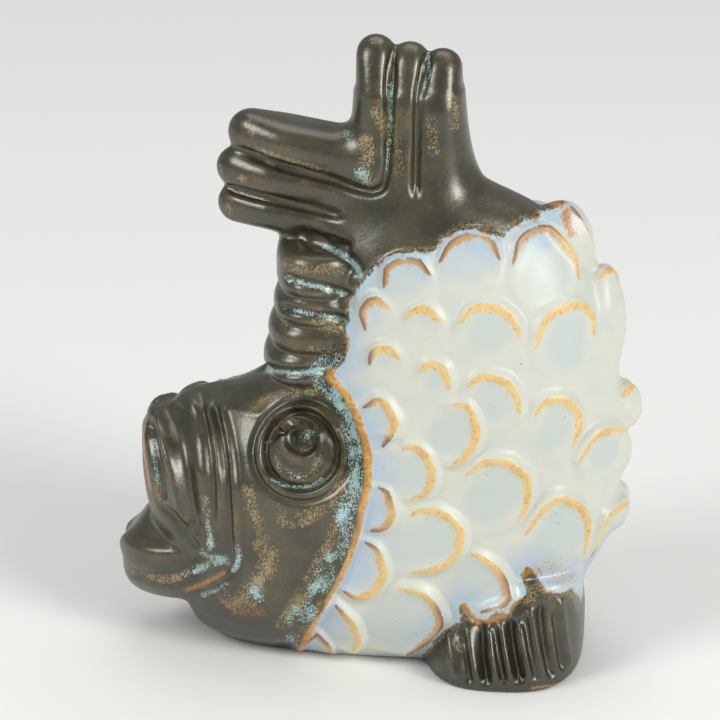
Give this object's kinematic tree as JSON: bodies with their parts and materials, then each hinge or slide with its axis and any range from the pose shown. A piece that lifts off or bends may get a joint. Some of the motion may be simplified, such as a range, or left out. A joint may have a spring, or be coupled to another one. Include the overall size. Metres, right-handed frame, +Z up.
{
  "type": "fish figurine",
  "caption": "Glazed stoneware fish that stands on its chin and fin feet, with thick lips, ringed eyes, a ribbed back fin, raised scales and a two-lobed tail curled over its back.",
  "frame": {"origin": "middle of the outline at table level, below the whole figure", "axes": "+Z up, +X from the lips to the rear edge, +Y to the fish's right side"},
  "size_m": [0.139, 0.0636, 0.165],
  "materials": {
    "dark_glaze": "gloss",
    "white_glaze": "gloss",
    "rim_glaze": "gloss"
  },
  "bodies": {
    "root": {"body_shell": "white_glaze", "head_shell": "dark_glaze", "gill_rim_left": "rim_glaze", "gill_rim_right": "rim_glaze", "tail_root": "dark_glaze", "cheek_fold_left": "dark_glaze", "cheek_fold_right": "dark_glaze", "muzzle_fold": "dark_glaze", "lower_lip": "dark_glaze", "upper_lip": "dark_glaze", "eye_ring_left": "dark_glaze", "eye_ring_right": "dark_glaze", "eye_ball_left": "dark_glaze", "eye_ball_right": "dark_glaze", "eye_pupil_left": "dark_glaze", "eye_pupil_right": "dark_glaze", "back_rib_1": "dark_glaze", "back_rib_2": "dark_glaze", "back_rib_3": "dark_glaze", "back_rib_4": "dark_glaze", "tail_upright_ray_1": "dark_glaze", "tail_upright_ray_2": "dark_glaze", "tail_upright_ray_3": "dark_glaze", "tail_forward_ray_1": "dark_glaze", "tail_forward_ray_2": "dark_glaze", "tail_forward_ray_3": "dark_glaze", "foot_left_ray_1": "dark_glaze", "foot_left_ray_2": "dark_glaze", "foot_left_ray_3": "dark_glaze", "foot_left_ray_4": "dark_glaze", "foot_right_ray_1": "dark_glaze", "foot_right_ray_2": "dark_glaze", "foot_right_ray_3": "dark_glaze", "foot_right_ray_4": "dark_glaze", "scales_gill_row_left": "white_glaze", "scales_gill_row_right": "white_glaze", "scales_cheek_row_left": "white_glaze", "scales_cheek_row_right": "white_glaze", "scales_flank_row_left": "white_glaze", "scales_flank_row_right": "white_glaze", "scales_belly_row_left": "white_glaze", "scales_belly_row_right": "white_glaze", "scales_rear_row_left": "white_glaze", "scales_rear_row_right": "white_glaze", "scales_rear_edge": "white_glaze"}
  },
  "joints": []
}
